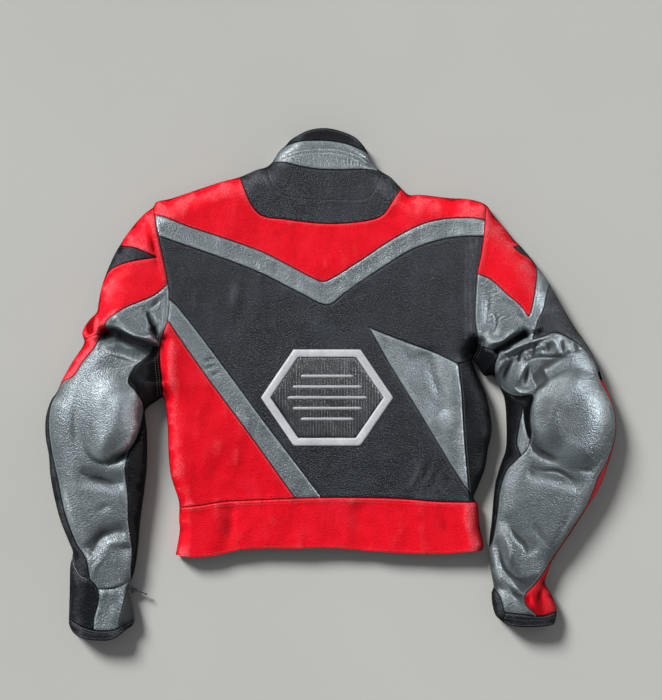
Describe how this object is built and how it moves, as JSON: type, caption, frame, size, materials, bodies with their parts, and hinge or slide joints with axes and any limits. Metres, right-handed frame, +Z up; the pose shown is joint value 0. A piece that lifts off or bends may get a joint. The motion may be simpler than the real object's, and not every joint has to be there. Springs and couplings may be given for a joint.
{
  "type": "motorcycle jacket",
  "caption": "Cropped leather riding jacket in red, grey and black panels, lying flat on its front with both sleeves down and an open collar, hem and cuffs.",
  "frame": {"origin": "on the surface the jacket lies on, under the middle of its outline", "axes": "+X across the back to its right sleeve as seen, +Y up the back to the collar, +Z up from the surface"},
  "size_m": [0.856, 0.766, 0.068],
  "materials": {
    "red_leather": "semi-gloss pebbled grain",
    "grey_leather": "semi-gloss pebbled grain",
    "black_leather": "semi-gloss pebbled grain",
    "black_knit": "matt soft",
    "zip_tape": "matt woven",
    "zip_metal": "dark satin",
    "patch_pale": "satin",
    "patch_black": "satin ribbed"
  },
  "bodies": {
    "jacket": {"collar_edging": "black_knit", "collar_back": "grey_leather", "yoke_neck": "black_leather", "yoke_shoulder": "red_leather", "chevron": "grey_leather", "back_main": "black_leather", "back_stripe": "grey_leather", "side_left": "red_leather", "back_taper": "grey_leather", "side_right": "black_leather", "hem_back": "red_leather", "cap_left": "red_leather", "insert_left": "black_leather", "upper_left": "grey_leather", "outer_left": "red_leather", "elbow_left": "grey_leather", "strip_left": "black_leather", "inner_left": "black_leather", "wrist_gusset_left": "black_leather", "wrist_left": "grey_leather", "zip_tape_left": "zip_tape", "cuff_left_back": "black_leather", "cap_right": "red_leather", "insert_right": "black_leather", "upper_right": "grey_leather", "outer_right": "black_leather", "elbow_right": "grey_leather", "gusset_right": "black_knit", "inner_right": "black_leather", "pleat_right": "grey_leather", "strip_right": "red_leather", "cuff_right_back": "black_leather", "tab_right": "black_leather", "front_left": "black_leather", "front_right": "black_leather", "front_zip": "black_leather", "collar_left": "grey_leather", "collar_right": "grey_leather", "hem_left": "red_leather", "hem_right": "red_leather", "under_left_upper": "black_leather", "under_left_lower": "black_leather", "under_right_upper": "black_leather", "under_right_lower": "black_leather", "cuff_left_front": "black_leather", "cuff_right_front": "black_leather", "patch_border": "patch_pale", "patch_field": "patch_black", "zip_slider_left": "zip_metal"},
    "cuff_pull": {"zip_pull_left": "zip_metal"}
  },
  "joints": [
    {"name": "cuff_pull_hinge", "type": "hinge", "parent": "jacket", "child": "cuff_pull", "pos_m": [-0.2936, -0.30889, 0.0119], "axis": [0, 0, 1], "range_deg": [-65, 95]}
  ]
}
